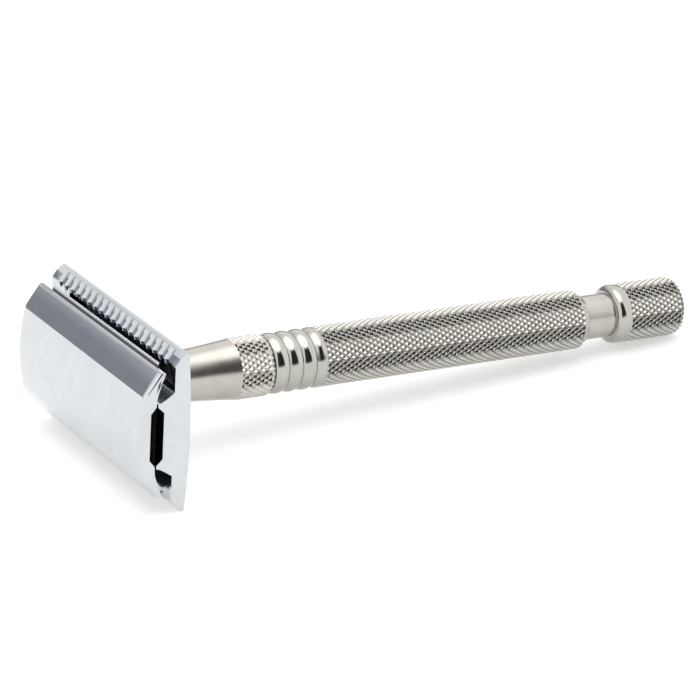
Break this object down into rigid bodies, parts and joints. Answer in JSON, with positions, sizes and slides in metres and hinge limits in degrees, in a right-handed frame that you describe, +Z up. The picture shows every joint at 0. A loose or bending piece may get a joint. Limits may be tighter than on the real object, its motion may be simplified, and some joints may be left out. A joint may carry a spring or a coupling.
{
  "type": "double-edge safety razor",
  "caption": "Double-edge safety razor with a closed comb head, slim knurled handle and a rear knob that opens the head.",
  "frame": {"origin": "on the table under the middle of the razor as it lies at rest", "axes": "+X along the razor from the head to the knob, +Y along the head, +Z up"},
  "size_m": [0.111, 0.044, 0.0257],
  "materials": {
    "chrome_head": "bright chrome plate over a cast head, polished",
    "blade_steel": "ground stainless blade steel with honed edges",
    "satin_steel": "satin turned and knurled stainless steel",
    "polished_steel": "polished stainless steel",
    "brass": "machined brass",
    "spring_steel": "drawn spring steel",
    "nylon": "natural nylon",
    "rubber": "black seal rubber"
  },
  "bodies": {
    "handle": {"base_plate": "chrome_head", "neck_cone": "satin_steel", "knurled_collar": "satin_steel", "ring_sleeve": "polished_steel", "grip_tube": "satin_steel", "core_tube": "brass", "rod_guide": "nylon", "rear_bush": "brass", "thrust_washer": "brass", "spring_washer": "spring_steel"},
    "knob_drive": {"knob": "satin_steel", "knob_stem": "satin_steel", "stem_seal": "rubber", "stem_pin": "polished_steel", "drive_rod": "polished_steel", "socket_pin": "polished_steel", "threaded_socket": "brass"},
    "cap": {"top_cap": "chrome_head", "cap_stud": "polished_steel", "guide_post_near": "polished_steel", "guide_post_far": "polished_steel"},
    "blade": {"razor_blade": "blade_steel"}
  },
  "joints": [
    {"name": "knob_turn", "type": "hinge", "parent": "handle", "child": "knob_drive", "pos_m": [0.05529, 0, 0.00479], "axis": [0.9969, 0, -0.0781], "range_deg": [0, 2880]},
    {"name": "cap_lift", "type": "slide", "parent": "handle", "child": "cap", "axis": [-0.9969, 0, 0.0781], "range_m": [0, 0.0056]},
    {"name": "blade_lift", "type": "slide", "parent": "handle", "child": "blade", "axis": [-0.9969, 0, 0.0781], "range_m": [0, 0.0028]}
  ],
  "couplings": [
    {"joint": "cap_lift", "follows": "knob_turn", "m_per_rad": 0.00011141},
    {"joint": "blade_lift", "follows": "knob_turn", "m_per_rad": 0.000055704}
  ]
}
